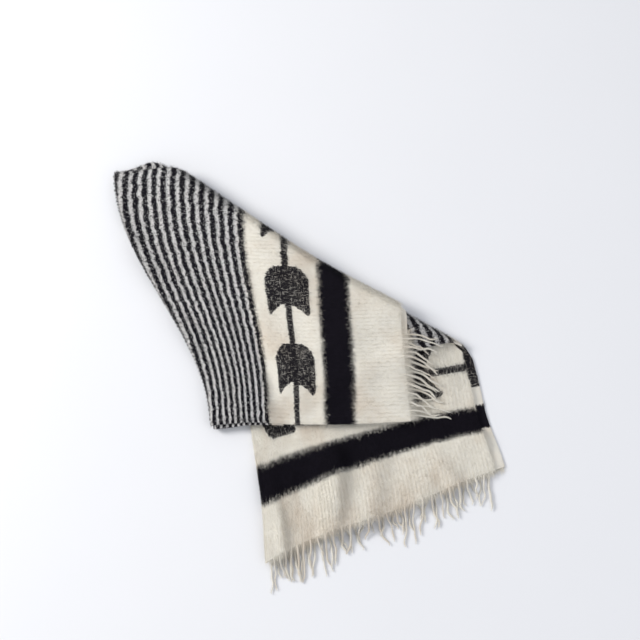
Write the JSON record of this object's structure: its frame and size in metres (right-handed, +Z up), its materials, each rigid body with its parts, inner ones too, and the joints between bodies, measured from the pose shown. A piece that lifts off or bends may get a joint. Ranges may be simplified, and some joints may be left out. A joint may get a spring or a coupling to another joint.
{
  "type": "blanket",
  "caption": "Hand-woven brushed wool blanket with stripes, arrow motifs and fringed ends, folded over itself in a slanting stack and laid flat.",
  "frame": {"origin": "centre of the blanket's footprint, on the surface that it lies on", "axes": "+Z up out of the surface, +Y away from the fringe at the lowest edge, +X towards the fringe of the upper panel"},
  "size_m": [0.9558, 1.0634, 0.0646],
  "materials": {
    "striped_wool": "brushed wool, black on cream",
    "cream_wool": "twisted wool yarn, natural cream"
  },
  "bodies": {
    "root": {"blanket": "striped_wool", "fringe_near_top": "cream_wool", "fringe_near_lower": "cream_wool", "fringe_under_top": "cream_wool", "fringe_under_lower": "cream_wool", "fringe_far_top": "cream_wool", "fringe_far_lower": "cream_wool"}
  },
  "joints": []
}
